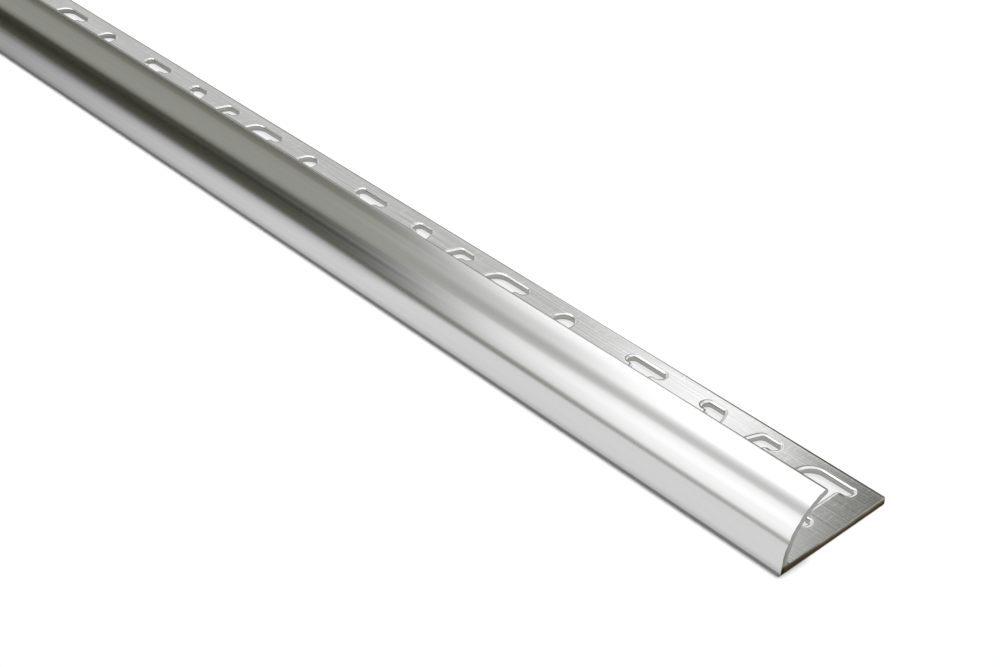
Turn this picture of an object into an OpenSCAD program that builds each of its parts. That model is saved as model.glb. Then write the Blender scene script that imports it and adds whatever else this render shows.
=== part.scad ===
// Quarter round edge trim for 10 mm tiles: one aluminium extrusion, sawn square at both ends.
// X runs along the length, the rounded face looks towards -Y and the punched leg reaches to +Y.
// The origin is at the middle of the underside.

/* [Extrusion] */
// Length of the piece of trim
trim_l = 1000; // [500:10:1500]
// Height of the rounded face, which is the thickness of the tile it covers
trim_h = 10; // [8:0.5:15]
// Width of the leg that lies under the tile
leg_w = 20.6; // [19:0.1:30]
// Thickness of the leg
leg_t = 1.2; // [1.1:0.1:2]
// Thickness of the rounded wall
shell_t = 0.95; // [0.8:0.05:1.4]
// Height of the straight heel below the rounded wall
heel_h = 1; // [0.6:0.05:1.1]
// Angle that the rounded wall sweeps from the heel to its tip
shell_sweep = 75; // [60:1:88]
// Bevel along the two corners of the rounded wall's tip
tip_bevel = 0.3; // [0.1:0.05:0.35]
// Bevel along the two corners of the leg's free edge
edge_bevel = 0.25; // [0.1:0.05:0.4]
// Bevel along the bottom corner of the heel
heel_bevel = 0.2; // [0.1:0.05:0.4]
// Radius of the fillet where the rounded wall meets the top of the leg
root_r = 0.5; // [0.3:0.1:1]

/* [Punched slots] */
// Length after which the group of five slots comes again
group_pitch = 62.5; // [60:0.5:80]
// Length of the slots across the leg
slot_l = 10.3; // [9:0.1:11]
// Metal left between the slots and the leg's free edge
slot_edge = 1.9; // [1.5:0.1:3]
// Neck width of the large slot
large_w = 7.2; // [6.5:0.1:7.5]
// Neck width of the two slots with one bowed side
bow_w = 3.1; // [2.6:0.1:3.4]
// Neck width of the slot with feet on both sides
spool_w = 3.5; // [3:0.1:4]
// Width of the plain slot with round ends
plain_w = 3.6; // [3:0.1:4]
// How far a foot reaches past the neck of its slot
foot_reach = 2; // [1.8:0.1:2.3]
// Width of a foot
foot_w = 1.85; // [1.6:0.05:2]
// Radius in the corner between a foot and the neck
foot_fillet_r = 0.8; // [0.5:0.1:0.9]
// Radius of the large slot's two round corners
large_corner_r = 2.4; // [2:0.1:3]
// Radius of a bowed side
bow_r = 11; // [9:0.5:14]
// Radius of the corners of a bowed side
bow_corner_r = 0.8; // [0.5:0.1:1]

/* [Hidden] */
// How far a cut runs past the surface that it leaves
overrun = 1;
// Steps in a quarter turn of a slot's corners
quarter_steps = 5;
// Steps along half of a bowed side
bow_steps = 3;
// Places of the five slots in one group, from the sawn end, as shares of the group's pitch
slot_place_shares = [0.13, 0.306, 0.421, 0.651, 0.912];
// Radius of the rounded wall's outer face, from the height that it has to reach
shell_r = (trim_h - heel_h) / sin(shell_sweep);
// Middle of the row of slots, from the heel
slot_y = leg_w - slot_edge - slot_l / 2;
// Number of whole groups along the length
groups = floor(trim_l / group_pitch);

// Points along an arc from one angle to another
function arc_points(centre, r, from, to, steps) =
    [for (i = [0:steps]) let (a = from + (to - from) * i / steps) centre + r * [cos(a), sin(a)]];

// The list of points from last to first
function turned(points) = [for (i = [len(points) - 1:-1:0]) points[i]];

// The points mirrored end for end across the leg's length
function flipped(points) = turned([for (p = points) [-p[0], p[1]]]);

// Upper half of a slot's side with a foot, from the middle of the neck wall to the slot's end
function foot_half(w) = concat(
    arc_points([w / 2 + foot_fillet_r, slot_l / 2 - foot_w - foot_fillet_r], foot_fillet_r,
        180, 90, quarter_steps),
    arc_points([w / 2 + foot_reach - foot_w / 2, (slot_l - foot_w) / 2], foot_w / 2,
        -90, 90, 2 * quarter_steps));

// Upper half of a side that ends in one round corner
function round_half(w, r) = arc_points([w / 2 - r, slot_l / 2 - r], r, 0, 90, quarter_steps);

// Upper half of a bowed side: a wide arc that runs smoothly into a small corner arc
function bow_half(w) =
    let (corner = [w / 2 - bow_r + sqrt(pow(bow_r - bow_corner_r, 2)
            - pow(slot_l / 2 - bow_corner_r, 2)), slot_l / 2 - bow_corner_r])
    let (meet = atan2(corner[1], corner[0] - w / 2 + bow_r))
    concat(
        arc_points([w / 2 - bow_r, 0], bow_r, 0, meet * (1 - 1 / bow_steps), bow_steps - 1),
        arc_points(corner, bow_corner_r, meet, 90, quarter_steps));

// The whole right side of a slot from the half above the middle, bottom end first
function whole_side(half) = concat(turned([for (p = half) [p[0], -p[1]]]), half);

// A slot's closed outline from the upper halves of its right and left sides
function slot_outline(right_half, left_half) =
    concat(whole_side(right_half), flipped(whole_side(left_half)));

// The five slots of a group, in their order from the sawn end
slot_outlines = [
    slot_outline(foot_half(large_w), round_half(large_w, large_corner_r)),
    slot_outline(foot_half(bow_w), bow_half(bow_w)),
    slot_outline(bow_half(bow_w), foot_half(bow_w)),
    slot_outline(foot_half(spool_w), foot_half(spool_w)),
    slot_outline(round_half(plain_w, plain_w / 2), round_half(plain_w, plain_w / 2))
];

// Section of the leg, with its bevels and the step that tucks it behind the rounded wall
module leg_section() {
    polygon([
        [heel_bevel, 0],
        [leg_w - edge_bevel, 0],
        [leg_w, edge_bevel],
        [leg_w, leg_t - edge_bevel],
        [leg_w - edge_bevel, leg_t],
        [shell_t / 2, leg_t],
        [shell_t / 2, heel_h],
        [0, heel_h],
        [0, heel_bevel]
    ]);
}

// A point near the tip: out along its radius, then past the end of the sweep
function tip_point(out, past) =
    out * [-cos(shell_sweep), sin(shell_sweep)] + past * [sin(shell_sweep), cos(shell_sweep)];

// Section of the rounded wall, from the heel to its bevelled tip
module shell_section() {
    inner_r = shell_r - shell_t;
    wide = 2 * shell_r;
    translate([shell_r, heel_h]) intersection() {
        difference() {
            circle(shell_r, $fn = 180);
            circle(inner_r, $fn = 180);
        }
        polygon([
            [0, 0],
            [-wide, 0],
            [-wide, wide * tan(shell_sweep / 2)],
            tip_point(shell_r + overrun, -overrun),
            tip_point(shell_r - tip_bevel, tip_bevel),
            tip_point(inner_r + tip_bevel, tip_bevel),
            tip_point(inner_r - overrun, -overrun)
        ]);
    }
}

// Fillet that fills the inner corner between the rounded wall and the leg
module root_fillet_section() {
    difference() {
        translate([shell_t / 2, leg_t / 2]) square([shell_t / 2 + root_r, leg_t / 2 + root_r]);
        translate([shell_t + root_r, leg_t + root_r]) circle(root_r, $fn = 48);
    }
}

// The extruded profile along the whole length, with the heel at y = 0
module extrusion() {
    rotate([90, 0, 90]) linear_extrude(trim_l) {
        leg_section();
        shell_section();
        root_fillet_section();
    }
}

// All punched slots, one group after another from the sawn end at +X
module punched_slots() {
    for (group = [0:groups - 1])
        for (i = [0:len(slot_outlines) - 1])
            translate([trim_l - (group + slot_place_shares[i]) * group_pitch, slot_y, -overrun])
                linear_extrude(leg_t + 2 * overrun) polygon(slot_outlines[i]);
}

module edge_trim() {
    color("silver") translate([-trim_l / 2, -leg_w / 2, 0]) difference() {
        extrusion();
        punched_slots();
    }
}

edge_trim();
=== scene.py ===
import math

import bpy
import numpy as np
from mathutils import Matrix, Vector
from mathutils.geometry import delaunay_2d_cdt


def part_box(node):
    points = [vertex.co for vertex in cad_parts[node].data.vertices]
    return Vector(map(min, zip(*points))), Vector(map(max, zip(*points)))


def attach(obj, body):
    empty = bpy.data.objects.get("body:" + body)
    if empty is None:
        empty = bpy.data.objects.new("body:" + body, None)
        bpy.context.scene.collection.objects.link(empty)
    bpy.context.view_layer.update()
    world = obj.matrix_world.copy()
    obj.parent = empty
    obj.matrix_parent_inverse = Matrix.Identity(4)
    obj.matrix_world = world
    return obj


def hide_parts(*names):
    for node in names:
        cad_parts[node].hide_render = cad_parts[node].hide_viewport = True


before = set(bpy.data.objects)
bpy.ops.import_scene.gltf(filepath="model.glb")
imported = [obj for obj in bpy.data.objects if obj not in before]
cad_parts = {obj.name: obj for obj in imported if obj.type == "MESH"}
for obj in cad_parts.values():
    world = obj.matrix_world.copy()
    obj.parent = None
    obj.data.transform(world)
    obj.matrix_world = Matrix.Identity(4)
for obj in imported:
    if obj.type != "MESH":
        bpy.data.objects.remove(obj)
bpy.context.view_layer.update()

# The trim
# One aluminium extrusion: a quarter round wall over a flat leg. The wall is polished bright, and the leg
# keeps the fine lengthwise lines of the die. The leg is punched with groups of five slots, and both ends
# are sawn.

MM = 0.001

# The section. Lengths are in metres and angles in degrees, here and below
low, high = (np.array(corner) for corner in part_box("edge_trim"))
trim_l, leg_w, trim_h = high - low
leg_t = 1.2 * MM
wall_t = 0.95 * MM
heel_h = 1.0 * MM
wall_sweep = 76
heel_round = 0.2 * MM
edge_fall_reach = 0.45 * MM
edge_fall = 18
edge_bead = 3
bead_hollow_r = 3.0 * MM
edge_round = 0.1 * MM
tip_round = 0.42 * MM
root_round = 0.5 * MM
wall_r = (trim_h - heel_h) / math.sin(math.radians(wall_sweep))
inner_r = wall_r - wall_t

# The slots, with their places in a group as shares of its length, counted from the +X end
group_pitch = 62.5 * MM
slot_place_shares = (0.13, 0.306, 0.421, 0.651, 0.912)
slot_l = 10.35 * MM
slot_edge = 2.08 * MM
large_w = 5.95 * MM
bow_w = 2.8 * MM
spool_w = 3.2 * MM
plain_w = 3.45 * MM
foot_reach = 1.8 * MM
foot_w = 1.5 * MM
foot_fillet_r = 0.8 * MM
large_corner_r = 2.4 * MM
bow_r = 11.0 * MM
bow_corner_r = 0.8 * MM
slot_y = leg_w - slot_edge - slot_l / 2
band_margin = 0.8 * MM

# A slot's rim, by the radius of each bend and its lean from level where it ends, and the steps of each
dish_r, dish_lean, dish_steps = 1.5 * MM, 10, 3
lip_r, lip_lean, lip_steps = 0.7 * MM, 25, 2
roll_r, bright_lean, bright_steps = 0.3 * MM, 62, 4
sheared_lean, sheared_steps = 90, 3
die_clearance = 0.3 * MM

# The saw's bevel, and how it varies along the outline, as (share, turn in radians a mm, start in radians)
saw_break = 0.07 * MM
saw_waves = ((0.35, 2.1, 0.7), (0.25, 5.3, 2.0))

# Outline points closer than same_point are one, and the mesh joins points that fall in one cell of weld
same_point = 1e-7
weld = 0.0005 * MM

# What delaunay_2d_cdt fills: all that lies inside, or that without its holes. It joins points within
# cdt_gap of each other
INSIDE, WITHOUT_HOLES = 1, 2
cdt_gap = 1e-9

POLISHED, MILL, ROLLED, PUNCHED, SAWN = range(5)


def arc(centre, radius, start, end, steps):
    """Rows (a, b, na, nb): centre + radius (cos t, sin t), with t even from start to end in degrees. The
    normal is (cos t, sin t) where t grows, on a convex arc, and its opposite where t falls, on a hollow
    one."""
    t = np.radians(np.linspace(start, end, steps + 1))
    ring = np.column_stack([np.cos(t), np.sin(t)])
    return np.column_stack([np.array(centre) + radius * ring, ring * (1 if end > start else -1)])


def straight(a, b, normal):
    """The two rows from point a to point b, which share one normal."""
    return np.column_stack([np.array([a, b]), np.tile(normal, (2, 1))])


def mirrored(rows, axis):
    """The rows with one coordinate and its normal negated, and taken from last to first so that the path
    still runs counterclockwise."""
    flip = np.ones(4)
    flip[[axis, axis + 2]] = -1
    return (rows * flip)[::-1]


def foot_half(w):
    """Upper half of a slot side with a foot: the neck's hollow fillet, then the foot's round end."""
    fillet_centre = (w / 2 + foot_fillet_r, slot_l / 2 - foot_w - foot_fillet_r)
    foot_centre = (w / 2 + foot_reach - foot_w / 2, (slot_l - foot_w) / 2)
    fillet = arc(fillet_centre, foot_fillet_r, 180, 90, steps=8)
    return np.vstack([fillet, arc(foot_centre, foot_w / 2, -90, 90, steps=14)])


def round_half(w, r):
    """Upper half of a slot side with one round corner of radius r."""
    return arc((w / 2 - r, slot_l / 2 - r), r, 0, 90, steps=12)


def bow_half(w):
    """Upper half of a bowed side: a wide arc about the middle line, then a corner arc inside it. They are
    tangent, so the corner's centre lies bow_r - bow_corner_r from the wide arc's centre."""
    wide = w / 2 - bow_r
    up = slot_l / 2 - bow_corner_r
    corner = (wide + math.sqrt((bow_r - bow_corner_r) ** 2 - up ** 2), up)
    meet = math.degrees(math.atan2(up, corner[0] - wide))
    wide_arc = arc((wide, 0), bow_r, 0, meet, steps=6)
    return np.vstack([wide_arc[:-1], arc(corner, bow_corner_r, meet, 90, steps=6)])


def gaps_before(points):
    """The distance from each point of a closed path to the one before it."""
    return np.linalg.norm(points - np.roll(points, 1, axis=0), axis=1)


def slot_outline(right_half, left_half):
    """A closed slot outline, counterclockwise, from the upper halves of its right and left sides."""
    right = np.vstack([mirrored(right_half, 1), right_half])
    left = np.vstack([mirrored(left_half, 1), left_half])
    rows = np.vstack([right, mirrored(left, 0)])
    return rows[gaps_before(rows[:, :2]) > same_point]


slot_outlines = (
    slot_outline(foot_half(large_w), round_half(large_w, large_corner_r)),
    slot_outline(foot_half(bow_w), bow_half(bow_w)),
    slot_outline(bow_half(bow_w), foot_half(bow_w)),
    slot_outline(foot_half(spool_w), foot_half(spool_w)),
    slot_outline(round_half(plain_w, plain_w / 2), round_half(plain_w, plain_w / 2)),
)

# Where the section's arcs meet. Along its free edge the leg rises to a low bead and falls beyond it
band_low = slot_y - slot_l / 2 - band_margin
band_high = slot_y + slot_l / 2 + band_margin
centre = (wall_r, heel_h)
out_t = 180 - wall_sweep
out_way = np.array([math.cos(math.radians(out_t)), math.sin(math.radians(out_t))])
tip_way = np.array([out_way[1], -out_way[0]])
tip_inside = centre + out_way * (inner_r + tip_round)
tip_outside = centre + out_way * (wall_r - tip_round)
fall_way = math.radians(edge_fall)
fall_r = (edge_fall_reach - edge_round * (1 - math.sin(fall_way))) / math.sin(fall_way)
fall_y = leg_w - edge_fall_reach
bead_way = math.radians(edge_bead)
bead_top = leg_t + (fall_r + bead_hollow_r) * (1 - math.cos(bead_way))
bead_y = fall_y - (fall_r + bead_hollow_r) * math.sin(bead_way)
edge_top = bead_top - (fall_r - edge_round) * (1 - math.cos(fall_way))
edge_y = leg_w - edge_round
root_up = leg_t + root_round - heel_h
root_y = wall_r - math.sqrt((inner_r - root_round) ** 2 - root_up ** 2)
root_t = 180 - math.degrees(math.asin(root_up / (inner_r - root_round)))

# The section in (y, z), heel at y = 0, counterclockwise as seen from the +X end, in runs that each keep one
# finish. The two runs without a finish are the band that the slots cut, which is worked out further on
section_runs = (
    (MILL, straight((heel_round, 0), (band_low, 0), (0, -1))),
    (None, straight((band_low, 0), (band_high, 0), (0, -1))),
    (MILL, straight((band_high, 0), (edge_y, 0), (0, -1))),
    (MILL, arc((edge_y, edge_round), edge_round, -90, 0, steps=6)),
    (MILL, straight((leg_w, edge_round), (leg_w, edge_top - edge_round), (1, 0))),
    (MILL, arc((edge_y, edge_top - edge_round), edge_round, 0, 90 - edge_fall, steps=6)),
    (MILL, arc((fall_y, bead_top - fall_r), fall_r, 90 - edge_fall, 90 + edge_bead, steps=12)),
    (MILL, arc((bead_y, leg_t + bead_hollow_r), bead_hollow_r, 270 + edge_bead, 270, steps=4)),
    (MILL, straight((bead_y, leg_t), (band_high, leg_t), (0, 1))),
    (None, straight((band_high, leg_t), (band_low, leg_t), (0, 1))),
    (MILL, straight((band_low, leg_t), (root_y, leg_t), (0, 1))),
    (MILL, arc((root_y, leg_t + root_round), root_round, 270, root_t, steps=8)),
    (MILL, arc(centre, inner_r, root_t, out_t, steps=48)),
    (MILL, arc(tip_inside, tip_round, out_t - 180, out_t - 90, steps=8)),
    (POLISHED, straight(tip_inside + tip_way * tip_round, tip_outside + tip_way * tip_round, tip_way)),
    (POLISHED, arc(tip_outside, tip_round, out_t - 90, out_t, steps=8)),
    (POLISHED, arc(centre, wall_r, out_t, 180, steps=96)),
    (POLISHED, straight((0, heel_h), (0, heel_round), (-1, 0))),
    (POLISHED, arc((heel_round, heel_round), heel_round, 180, 270, steps=6)),
)

patches = []


def add_patch(points, normals, faces, finish):
    """Keeps one smooth patch of the mesh: its points and normals, three corners a face, and its finish."""
    patches.append((np.asarray(points, float), np.asarray(normals, float), np.asarray(faces, int), finish))


def grid_faces(rows, columns, closed=False):
    """Two triangles for each cell of a rows by columns grid of points, with point (r, c) numbered
    r * columns + c, and the last column joined to the first where closed."""
    r = np.arange(rows - 1)[:, None]
    c = np.arange(columns if closed else columns - 1)[None, :]
    n = (c + 1) % columns
    a, b, d, e = r * columns + c, r * columns + n, (r + 1) * columns + n, (r + 1) * columns + c
    return np.vstack([np.stack(corners, -1).reshape(-1, 3) for corners in ((a, b, d), (a, d, e))])


groups = round(trim_l / group_pitch)
stations = np.linspace(-trim_l / 2, trim_l / 2, groups + 1)

# The parts of the section that no slot cuts are carried straight along the length
for finish, run in section_runs:
    if finish is None:
        continue
    x = np.repeat(stations, len(run))
    yz = np.tile(run, (len(stations), 1))
    add_patch(
        np.column_stack([x, yz[:, 0], yz[:, 1]]),
        np.column_stack([np.zeros(len(x)), yz[:, 2], yz[:, 3]]),
        grid_faces(len(stations), len(run)),
        finish,
    )


def filled(points, edges, loops, kind):
    """Triangles that fill flat outlines, given as edges or as closed loops: (points, corners), with the
    corners counterclockwise, so that the cross product of two sides is above 0."""
    found = delaunay_2d_cdt([Vector(p) for p in points], edges, loops, kind, cdt_gap)
    points = np.array([tuple(p) for p in found[0]])
    faces = np.array([tuple(f) for f in found[2]])
    a, b, c = (points[faces[:, i]] for i in range(3))
    area = (b[:, 0] - a[:, 0]) * (c[:, 1] - a[:, 1]) - (b[:, 1] - a[:, 1]) * (c[:, 0] - a[:, 0])
    return points, np.where((area > 0)[:, None], faces, faces[:, ::-1])


def flat_band(holes):
    """One group's length of the leg's face between the holes of its slots, as filled gives it."""
    border = np.array([(0, band_low), (group_pitch, band_low), (group_pitch, band_high), (0, band_high)])
    loops = [border] + holes
    first = np.cumsum([0] + [len(loop) for loop in loops])
    indices = [list(range(start, end)) for start, end in zip(first[:-1], first[1:])]
    return filled(np.vstack(loops), [], indices, WITHOUT_HOLES)


def slot_rows(index, spread):
    """One slot's outline in its group, with its points pushed out along their normals by spread."""
    rows = slot_outlines[index]
    middle = np.array([(1 - slot_place_shares[index]) * group_pitch, slot_y])
    return rows[:, :2] + rows[:, 2:] * spread + middle


def lean_arcs(bends):
    """The drawn-in edge of a slot as rows (reach, drop, lean), from the flat leg to the sheared wall. Its
    arcs follow on from each other. From lean t0 to t, one of radius r adds r (sin t - sin t0) to the reach
    and r (cos t0 - cos t) to the drop."""
    rows = [(0.0, 0.0, 0.0)]
    for radius, from_lean, to_lean, steps in bends:
        reach, drop, _ = rows[-1]
        t = np.radians(np.linspace(from_lean, to_lean, steps + 1)[1:])
        start = math.radians(from_lean)
        reaches = reach + radius * (np.sin(t) - math.sin(start))
        drops = drop + radius * (math.cos(start) - np.cos(t))
        rows += list(zip(reaches, drops, t))
    return np.array(rows)


drawn = lean_arcs((
    (dish_r, 0, dish_lean, dish_steps),
    (lip_r, dish_lean, lip_lean, lip_steps),
    (roll_r, lip_lean, bright_lean, bright_steps),
    (roll_r, bright_lean, sheared_lean, sheared_steps),
))
rolled_row = dish_steps
sheared_row = dish_steps + lip_steps + bright_steps
rim_parts = (
    (MILL, slice(0, rolled_row + 1)),
    (ROLLED, slice(rolled_row, sheared_row + 1)),
    (PUNCHED, slice(sheared_row, None)),
)
rim_spread, rim_drop = drawn[-1, :2]

group_patches = []
for height, spread, way in ((leg_t, rim_spread, 1), (0, die_clearance, -1)):
    points, faces = flat_band([slot_rows(i, spread) for i in range(len(slot_outlines))])
    face_points = np.column_stack([points, np.full(len(points), height)])
    face_normals = np.tile((0, 0, way), (len(points), 1))
    group_patches.append((face_points, face_normals, faces[:, ::way], MILL))

# A slot's wall: the punch draws the leg's top down into a shallow dish and a bright round lip, cuts, and the
# rest breaks away a little wider towards the die
break_lean = math.atan2(die_clearance, leg_t - rim_drop)
for i, rows in enumerate(slot_outlines):
    count = len(rows)
    rings, ring_normals = [], []
    for reach, drop, lean in drawn:
        flat = slot_rows(i, rim_spread - reach)
        rings.append(np.column_stack([flat, np.full(count, leg_t - drop)]))
        ring_normals.append(np.column_stack([-rows[:, 2:] * math.sin(lean), np.full(count, math.cos(lean))]))
    for finish, part in rim_parts:
        band, band_normals = np.vstack(rings[part]), np.vstack(ring_normals[part])
        group_patches.append((band, band_normals, grid_faces(len(band) // count, count, True), finish))
    foot = np.column_stack([slot_rows(i, die_clearance), np.zeros(count)])
    down = np.full(count, -math.sin(break_lean))
    broken_way = np.column_stack([-rows[:, 2:] * math.cos(break_lean), down])
    broken_wall = np.vstack([rings[-1], foot])
    group_patches.append((broken_wall, np.vstack([broken_way] * 2), grid_faces(2, count, True), PUNCHED))

for place, normals, faces, finish in group_patches:
    for k in range(groups):
        add_patch(place + (stations[k], 0, 0), normals, faces, finish)

# A sawn end: the outline stops a little short of the end, is broken by a small uneven bevel, and is closed
# flat. The bevel is saw_break * (1 + the sum of share * sin(turn * travel + start) over the waves)
outline = np.vstack([run[:-1] for finish, run in section_runs])
count = len(outline)
travel = np.cumsum(gaps_before(outline[:, :2])) / MM
broken = saw_break * (1 + sum(share * np.sin(travel * turn + start) for share, turn, start in saw_waves))


def break_at(yz):
    """How far the saw's bevel reaches at points of the section: the value at the outline's nearest point."""
    gap = np.abs(yz[:, None, :] - outline[None, :, :2]).sum(axis=2)
    return broken[np.argmin(gap, axis=1)]


edges = [(i, (i + 1) % count) for i in range(count)]
cap_yz = outline[:, :2] - outline[:, 2:] * broken[:, None]
cap_points, cap_faces = filled(cap_yz, edges, [], INSIDE)
swept_patches = len(patches)
for way in (-1, 1):
    end_x = way * trim_l / 2
    ring = np.column_stack([end_x - way * broken, outline[:, :2]])
    lip = np.column_stack([np.full(count, end_x), cap_yz])
    tilt = np.column_stack([np.full(count, float(way)), outline[:, 2:]]) / math.sqrt(2)
    add_patch(np.vstack([ring, lip]), np.vstack([tilt, tilt]), grid_faces(2, count, True)[:, ::way], SAWN)
    face = np.column_stack([np.full(len(cap_points), end_x), cap_points])
    add_patch(face, np.tile((way, 0, 0), (len(face), 1)), cap_faces[:, ::way], SAWN)

# All patches become one closed mesh: points that meet are joined, each corner keeps its own patch's normal,
# and faces whose corners have met are left out
patch_points, patch_normals, patch_faces, patch_finishes = zip(*patches)
points = np.vstack(patch_points)
corner_normals = np.vstack([normals[faces.ravel()] for normals, faces in zip(patch_normals, patch_faces)])
first = np.cumsum([0] + [len(part) for part in patch_points])
triangles = np.vstack([faces + start for faces, start in zip(patch_faces, first)])
finishes = np.repeat(patch_finishes, [len(faces) for faces in patch_faces])
swept = np.arange(len(points)) < first[swept_patches]
at_end = swept & (np.abs(np.abs(points[:, 0]) - trim_l / 2) < same_point)
points[at_end, 0] -= np.sign(points[at_end, 0]) * break_at(points[at_end, 1:])
points[:, 1] -= leg_w / 2
cells, joined = np.unique(np.round(points / weld).astype(np.int64), axis=0, return_inverse=True)
joined = joined.ravel()
place = np.zeros((len(cells), 3))
place[joined] = points
corners = joined[triangles]
whole = (corners != np.roll(corners, 1, axis=1)).all(axis=1)
corners, finishes = corners[whole], finishes[whole]
corner_normals = corner_normals.reshape(-1, 3, 3)[whole].reshape(-1, 3)

mesh = bpy.data.meshes.new("trim_extrusion")
mesh.vertices.add(len(place))
mesh.vertices.foreach_set("co", place.ravel())
mesh.loops.add(corners.size)
mesh.loops.foreach_set("vertex_index", corners.ravel())
mesh.polygons.add(len(corners))
mesh.polygons.foreach_set("loop_start", np.arange(0, corners.size, 3))
mesh.polygons.foreach_set("material_index", finishes)
mesh.update(calc_edges=True)
mesh.normals_split_custom_set(corner_normals.tolist())
trim = bpy.data.objects.new("trim_extrusion", mesh)
bpy.context.collection.objects.link(trim)


def new_material(name):
    """A material with its node tree, and in it a Principled shader joined to the output."""
    material = bpy.data.materials.new(name)
    material.use_nodes = True
    tree = material.node_tree
    tree.nodes.clear()
    shader = tree.nodes.new("ShaderNodeBsdfPrincipled")
    output = tree.nodes.new("ShaderNodeOutputMaterial")
    tree.links.new(shader.outputs["BSDF"], output.inputs["Surface"])
    return material, tree, shader


def feed(tree, node, settings):
    """Sets a node's inputs, by name or number, each to a link, a number or a colour (r, g, b)."""
    for name, value in settings.items():
        if isinstance(value, bpy.types.NodeSocket):
            tree.links.new(value, node.inputs[name])
        else:
            node.inputs[name].default_value = (*value, 1) if isinstance(value, tuple) else value


def grey(level):
    """A neutral colour."""
    return level, level, level


def axes(tree, coordinates="Object"):
    """The X, Y and Z of the coordinates, as sockets by name."""
    where = tree.nodes.new("ShaderNodeTexCoord")
    split = tree.nodes.new("ShaderNodeSeparateXYZ")
    tree.links.new(where.outputs[coordinates], split.inputs["Vector"])
    return split.outputs


def stretched_noise(tree, scale, detail, roughness=0.5):
    """A noise from 0 to 1 on Object coordinates, with features about 1 / scale metres long on each axis."""
    where = tree.nodes.new("ShaderNodeTexCoord")
    mapping = tree.nodes.new("ShaderNodeMapping")
    mapping.inputs["Scale"].default_value = scale
    tree.links.new(where.outputs["Object"], mapping.inputs["Vector"])
    noise = tree.nodes.new("ShaderNodeTexNoise")
    vector = mapping.outputs["Vector"]
    feed(tree, noise, {"Vector": vector, "Scale": 1.0, "Detail": detail, "Roughness": roughness})
    return noise.outputs["Fac"]


def span(tree, value, low_value, high_value, from_low=0.3, from_high=0.7, curve="LINEAR"):
    """A value carried from (from_low, from_high) to (low_value, high_value) and held beyond them. A noise
    lies mostly from 0.3 to 0.7."""
    node = tree.nodes.new("ShaderNodeMapRange")
    node.interpolation_type = curve
    feed(tree, node, {
        "Value": value,
        "From Min": from_low,
        "From Max": from_high,
        "To Min": low_value,
        "To Max": high_value,
    })
    return node.outputs["Result"]


def maths(tree, operation, *values):
    """One Math node on links or numbers."""
    node = tree.nodes.new("ShaderNodeMath")
    node.operation = operation
    feed(tree, node, dict(enumerate(values)))
    return node.outputs["Value"]


def mixed(tree, factor, first_value, second_value, blend="MIX", kind="RGBA"):
    """Two colours, or two floats where kind says so, mixed by a factor from 0 to 1, or multiplied where
    blend says so."""
    node = tree.nodes.new("ShaderNodeMix")
    node.data_type = kind
    node.blend_type = blend
    feed(tree, node, {"Factor": factor, "A": first_value, "B": second_value})
    return node.outputs["Result"]


def ramp(tree, value, stops, curve="LINEAR"):
    """The colour at a value among (position, colour) stops."""
    node = tree.nodes.new("ShaderNodeValToRGB")
    node.color_ramp.interpolation = curve
    marks = node.color_ramp.elements
    while len(marks) < len(stops):
        marks.new(0.5)
    for mark, (position, colour) in zip(marks, stops):
        mark.position = position
        mark.color = (*colour, 1)
    feed(tree, node, {"Fac": value})
    return node.outputs["Color"]


def bumped(tree, height, strength, distance):
    """The surface's normal, roughened by a height from 0 to 1 that stands for a distance."""
    node = tree.nodes.new("ShaderNodeBump")
    feed(tree, node, {"Height": height, "Strength": strength, "Distance": distance})
    return node.outputs["Normal"]


def polished_aluminium():
    """Bright polished wall: sharp reflections with hair-fine lines along the length."""
    material, tree, shader = new_material("polished_aluminium")
    lines = stretched_noise(tree, scale=(2, 1500, 1500), detail=4)
    feed(tree, shader, {
        "Metallic": 1.0,
        "Base Color": mixed(tree, lines, grey(0.60), grey(0.67)),
        "Roughness": span(tree, lines, 0.11, 0.16),
        "Specular Tint": grey(0.25),
        "Normal": bumped(tree, lines, strength=0.05, distance=0.02 * MM),
    })
    return material


def mill_aluminium():
    """Mill finish leg: soft satin with die lines along the length and a few light scuffs."""
    material, tree, shader = new_material("mill_aluminium")
    lines = stretched_noise(tree, scale=(40, 4200, 4200), detail=6, roughness=0.75)
    wear = stretched_noise(tree, scale=(2400, 420, 420), detail=3, roughness=0.6)
    scuffs = span(tree, wear, 0, 0.35, from_low=0.57, from_high=0.72)
    marks = maths(tree, "ADD", span(tree, lines, 0, 1), scuffs)
    feed(tree, shader, {
        "Metallic": 1.0,
        "Base Color": mixed(tree, marks, grey(0.45), grey(0.78)),
        "Roughness": span(tree, marks, 0.10, 0.20, from_low=0, from_high=1.4),
        "Normal": bumped(tree, lines, strength=0.25, distance=0.02 * MM),
    })
    return material


def rolled_aluminium():
    """Edge that the punch has drawn down and burnished: the brightest metal on the leg."""
    material, tree, shader = new_material("rolled_aluminium")
    feed(tree, shader, {"Metallic": 1.0, "Base Color": (0.92, 0.92, 0.91), "Roughness": 0.2})
    return material


def punched_aluminium():
    """Sheared slot wall: dull, slightly warm, torn metal with lines through the thickness."""
    material, tree, shader = new_material("punched_aluminium")
    tears = stretched_noise(tree, scale=(3000, 3000, 300), detail=4)
    feed(tree, shader, {
        "Metallic": 1.0,
        "Base Color": mixed(tree, tears, (0.36, 0.36, 0.34), (0.52, 0.52, 0.50)),
        "Roughness": span(tree, tears, 0.32, 0.5),
        "Normal": bumped(tree, tears, strength=0.4, distance=0.04 * MM),
    })
    return material


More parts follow.
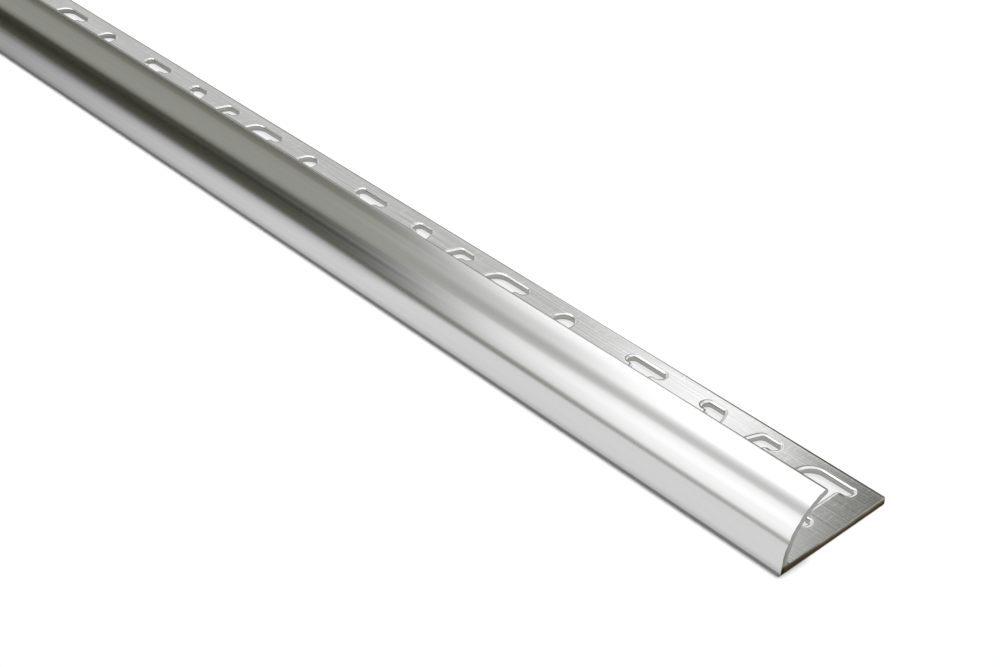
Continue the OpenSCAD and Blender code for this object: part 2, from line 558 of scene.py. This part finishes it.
# A sawn end's colours by height in mm, which paint light and shade: a dark brown painted shade and
# reflection of the floor on the leg's lower half, a painted highlight along its top edge, and grey up the
# wall, painted a little darker low down
sawn_painted_light_colours = (
    (0.0, (0.098, 0.083, 0.057)),
    (0.25, (0.098, 0.083, 0.057)),
    (0.45, (0.11, 0.093, 0.064)),
    (0.65, (0.16, 0.142, 0.104)),
    (0.8, (0.24, 0.225, 0.182)),
    (1.0, (0.40, 0.378, 0.325)),
    (1.15, (0.50, 0.48, 0.42)),
    (3.0, (0.42, 0.42, 0.40)),
    (7.0, (0.48, 0.48, 0.47)),
)
sawn_reach = 10


def sawn_aluminium():
    """Cut end: grey metal with fine saw lines, painted shade and reflection low on the leg, and a painted
    highlight above it. The painted shade's edge wobbles, and it stands higher from the heel to about 5 mm
    along the leg. The corner of the heel is darker with painted shade."""
    material, tree, shader = new_material("sawn_aluminium")
    marks = stretched_noise(tree, scale=(400, 900, 4200), detail=4)
    shade_edge_noise = stretched_noise(tree, scale=(300, 260, 300), detail=3)
    place = axes(tree)
    # Painted shade: near the heel the dark part stands higher, and the heel's corner is darker
    corner_low, corner_high, leg_low, leg_high = (y * MM - leg_w / 2 for y in (0.3, 0.8, 5, 8))
    lower = span(tree, place["Y"], -0.35 * MM, 0.05 * MM, leg_low, leg_high)
    height = maths(tree, "ADD", place["Z"], span(tree, shade_edge_noise, -0.15 * MM, 0.15 * MM))
    height_share = span(tree, maths(tree, "ADD", height, lower), 0, 1, 0, sawn_reach * MM)
    colour = ramp(tree, height_share, [(mm / sawn_reach, colour) for mm, colour in sawn_painted_light_colours])
    # The saw marks darken the colour in streaks, and the heel's corner gets its painted shade
    for shade in (span(tree, marks, 0.8, 1), span(tree, place["Y"], 0.65, 1, corner_low, corner_high)):
        colour = mixed(tree, 1.0, colour, shade, "MULTIPLY")
    feed(tree, shader, {
        "Metallic": 1.0,
        "Base Color": colour,
        "Roughness": span(tree, marks, 0.3, 0.45),
        "Specular Tint": grey(0.3),
        "Normal": bumped(tree, marks, strength=0.3, distance=0.03 * MM),
    })
    return material


for finish in (polished_aluminium, mill_aluminium, rolled_aluminium, punched_aluminium, sawn_aluminium):
    mesh.materials.append(finish())

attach(trim, "root")
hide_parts("edge_trim")

# The floor
# A plain pale matt sheet that the trim lies on. A camera sees it white, with the trim's shadow, and the
# metal sees it softer, mostly as a painted glow without that shadow, painted dimmer the further it lies from
# the near end and from the heel.

floor_half = 12.0
floor_drop = 0.02 * MM
near_end = trim_l / 2
heel_y = -leg_w / 2

# The level of the painted glow that the metal sees on the floor, which paints a dimmer reflection towards
# -X, by the share of the way from fade_far to fade_near in X. From aside_near out to aside_far in Y it comes
# down to aside_level as well, but evens out from even_far to even_near in X
fade_far, fade_near = near_end - 0.34, near_end - 0.08
fade_levels = ((0.18, 0.38), (0.40, 0.5), (0.55, 0.64), (0.66, 0.77), (0.78, 0.9), (0.90, 1.0), (1.0, 1.0))
aside_level = 0.68
aside_far, aside_near = heel_y - 0.035, heel_y - 0.002
even_far, even_near = near_end - 0.16, near_end - 0.09
metal_glow, metal_grey = 0.69, 0.25

# The strip under the leg, by its middle and half width, shows bright through the slots: its strong glow is
# painted light that washes out the trim's shadow there. A camera sees one glow and one grey on the open
# floor, and others on that strip
under_strip = {"X": (0, near_end - 0.3 * MM), "Y": (4.5 * MM, 5.4 * MM)}
open_glow, under_glow = 0.02, 0.76
open_grey, under_grey = 0.80, 0.10

corner_ways = ((-1, -1), (1, -1), (1, 1), (-1, 1))
floor_mesh = bpy.data.meshes.new("floor")
floor_mesh.from_pydata([(x * floor_half, y * floor_half, 0) for x, y in corner_ways], [], [(0, 1, 2, 3)])
floor = bpy.data.objects.new("floor", floor_mesh)
floor.location.z = -floor_drop
bpy.context.collection.objects.link(floor)


def light_rays(tree):
    """What kind of ray is looking, as sockets by name that are 1 or 0."""
    return tree.nodes.new("ShaderNodeLightPath").outputs


def pale_floor():
    """Pale matt sheet. The painted glow that the metal sees has the level fade(x) * max(aside(y), even(x)),
    and a camera sees it by whether it is under the leg, where a painted glow hides the trim's shadow."""
    material, tree, shader = new_material("pale_floor")
    rays = light_rays(tree)
    place = axes(tree)
    fade_share = span(tree, place["X"], 0, 1, fade_far, fade_near)
    fade = ramp(tree, fade_share, [(share, grey(level)) for share, level in fade_levels])
    aside = span(tree, place["Y"], aside_level, 1, aside_far, aside_near)
    even = span(tree, place["X"], 0, 1, even_far, even_near)
    level = maths(tree, "MULTIPLY", fade, maths(tree, "MAXIMUM", aside, even))
    # Under the leg a camera sees a strong painted glow over a dim grey, which hides the trim's shadow in the
    # slots
    inside = [maths(tree, "COMPARE", place[name], *strip) for name, strip in under_strip.items()]
    under = maths(tree, "MULTIPLY", *inside)
    seen_glow = span(tree, under, open_glow, under_glow, 0, 1)
    camera_glow = maths(tree, "MULTIPLY", seen_glow, rays["Is Camera Ray"])
    seen_grey = span(tree, under, open_grey, under_grey, 0, 1)
    # The metal sees a painted glow, dimmed by level, in place of the lit floor and its shadow
    glow_in_metal = maths(tree, "MULTIPLY", level, metal_glow)
    grey_in_metal = maths(tree, "MULTIPLY", level, metal_grey)
    in_metal = rays["Is Glossy Ray"]
    feed(tree, shader, {
        "Base Color": mixed(tree, in_metal, seen_grey, grey_in_metal),
        "Roughness": 1.0,
        "Specular IOR Level": 0.0,
        "Emission Color": grey(1.0),
        "Emission Strength": mixed(tree, in_metal, camera_glow, glow_in_metal, kind="FLOAT"),
    })
    return material


floor_mesh.materials.append(pale_floor())

# The light
# A soft studio with one wide high lamp. A camera and the metal see a bright room whose light falls off
# towards -X, with a dark gap low behind the trim. Matt surfaces get only an even fill from it.

sky_strength = 2.0
dark_warmth = 0.3
fill_level = 0.05
lamp_strength = 3.8
lamp_width = 13
lamp_lean = -16

# The room's levels by degrees round the trim's length, from the -Y horizon over the top to the +Y one: the
# side at +X, and then three ever dimmer parts towards -X
open_levels = (
    (-2, 0.5), (2, 0.45), (60, 0.8), (90, 1.0), (118, 1.0), (127, 0.5), (148, 0.6), (157, 1.3), (178, 1.3),
)
near_levels = (
    (-2, 0.8), (1, 0.55), (4, 0.6), (8, 1.35), (20, 1.45), (33, 1.62), (42, 1.5), (47, 1.4), (53, 0.84),
    (60, 0.84), (66, 1.15), (73, 1.7), (108, 1.7), (112, 0.5),
)
middle_levels = (
    (-2, 0.6), (1, 0.35), (5, 0.4), (9, 1.05), (22, 1.25), (34, 1.35), (42, 1.25), (50, 0.7), (60, 0.62),
    (72, 0.9), (84, 1.0), (96, 1.4), (108, 1.7), (112, 0.6),
)
dim_levels = (
    (-12, 0.6), (0, 0.17), (8, 0.09), (20, 0.05), (36, 0.06), (45, 0.36), (52, 0.44), (62, 0.44), (85, 0.42),
    (93, 0.27), (104, 0.16), (112, 0.5),
)

# Where one part gives way to the next, by the look's X. The back, which the leg shows, starts by its share
# of the turn round the length
dim_to_middle = (-0.67, -0.595)
middle_to_near = (-0.58, -0.53)
near_to_open = (-0.36, -0.28)
front_to_back = (0.80, 0.812)

# The back's levels by share along X, which slants with the share round (held to slant_span) and shifts
# below high_span, and its levels by the share round
back_levels = (
    (0.0, 0.8), (0.19, 0.8), (0.216, 0.85), (0.235, 1.5), (0.257, 1.75), (0.263, 1.2), (0.276, 0.75),
    (0.282, 0.33), (0.292, 0.13), (0.315, 0.15), (0.335, 0.7),
)
back_round_levels = ((0.812, 1.6), (0.82, 2.0), (0.912, 2.0), (0.93, 0.5))
slant_span = (0.866, 0.91)
slant_zero = 0.877
slant_rate = 0.8
high_span = (0.83, 0.86)
high_shift = 0.025

world = bpy.data.worlds.new("studio")
bpy.context.scene.world = world
world.use_nodes = True
sky = world.node_tree
sky.nodes.clear()


def sky_ramp(position, stops):
    """The sky's colour by (position, level) stops, with smooth steps. A level is divided by the sky's
    strength, and its blue comes down by dark_warmth * (1 - level) squared where it is under 1."""
    colours = []
    for share, level in stops:
        red = level / sky_strength
        colours.append((share, (red, red, red * (1 - dark_warmth * max(0, 1 - level) ** 2))))
    return ramp(sky, position, colours, "EASE")


def sky_arch(levels):
    """A part of the room, from levels by degrees round the length."""
    return sky_ramp(round_share, [((degrees + 180) / 360, level) for degrees, level in levels])


def sky_step(value, from_value, to_value):
    """0 before from_value, 1 after to_value, and smooth between."""
    return span(sky, value, 0, 1, from_value, to_value, "SMOOTHSTEP")


look = axes(sky, "Generated")
along = look["X"]
round_angle = maths(sky, "ARCTAN2", look["Z"], maths(sky, "MULTIPLY", look["Y"], -1))
round_share = maths(sky, "ADD", maths(sky, "DIVIDE", round_angle, 2 * math.pi), 0.5)
along_share = maths(sky, "ADD", maths(sky, "MULTIPLY", along, 0.5), 0.5)

room = mixed(sky, sky_step(along, *dim_to_middle), sky_arch(dim_levels), sky_arch(middle_levels))
room = mixed(sky, sky_step(along, *middle_to_near), room, sky_arch(near_levels))
held_share = maths(sky, "MINIMUM", maths(sky, "MAXIMUM", round_share, slant_span[0]), slant_span[1])
slant = maths(sky, "MULTIPLY", maths(sky, "SUBTRACT", held_share, slant_zero), slant_rate)
shift = maths(sky, "MULTIPLY", maths(sky, "SUBTRACT", 1.0, sky_step(round_share, *high_span)), high_shift)
back_share = maths(sky, "ADD", maths(sky, "ADD", along_share, slant), shift)
back_round = sky_ramp(round_share, back_round_levels)
back = mixed(sky, 1.0, sky_ramp(back_share, back_levels), back_round, "MULTIPLY")
room = mixed(sky, sky_step(round_share, *front_to_back), room, back)
room = mixed(sky, sky_step(along, *near_to_open), room, sky_arch(open_levels))

sky_rays = light_rays(sky)
seen = maths(sky, "MAXIMUM", sky_rays["Is Camera Ray"], sky_rays["Is Glossy Ray"])
seen = maths(sky, "MAXIMUM", seen, sky_rays["Is Transmission Ray"])
background = sky.nodes.new("ShaderNodeBackground")
feed(sky, background, {"Color": mixed(sky, seen, grey(fill_level), room), "Strength": sky_strength})
sky_output = sky.nodes.new("ShaderNodeOutputWorld")
sky.links.new(background.outputs["Background"], sky_output.inputs["Surface"])

lamp_data = bpy.data.lights.new("high_lamp", "SUN")
lamp_data.energy = lamp_strength
lamp_data.angle = math.radians(lamp_width)
lamp = bpy.data.objects.new("high_lamp", lamp_data)
bpy.context.collection.objects.link(lamp)
lamp.rotation_euler = (math.radians(lamp_lean), 0, 0)
lamp.visible_glossy = False

# The camera
# It stands before the sawn end at +X and looks down along the rounded face, as the photograph does. Its
# lens, place and turns were fitted to the trim's long edges and to the arc of its end.

lens_px = 1830.5
image_w = 1000
heading = 47.66
pitch = 35.39
roll = 0.41
camera_from_heel = Vector((100.9, -139.6, 156.5)) * MM
camera_data = bpy.data.cameras.new("camera")
camera_data.sensor_fit = "HORIZONTAL"
camera_data.sensor_width = 36.0
camera_data.lens = lens_px / image_w * camera_data.sensor_width
camera_data.clip_start = 0.005
camera_data.clip_end = 100
camera = bpy.data.objects.new("camera", camera_data)
bpy.context.collection.objects.link(camera)
camera.matrix_world = (
    Matrix.Translation(camera_from_heel + Vector((near_end, heel_y, 0)))
    @ Matrix.Rotation(math.radians(heading), 4, "Z")
    @ Matrix.Rotation(math.radians(90 - pitch), 4, "X")
    @ Matrix.Rotation(math.radians(roll), 4, "Z")
)
bpy.context.scene.camera = camera
bpy.context.scene.view_settings.view_transform = "Standard"
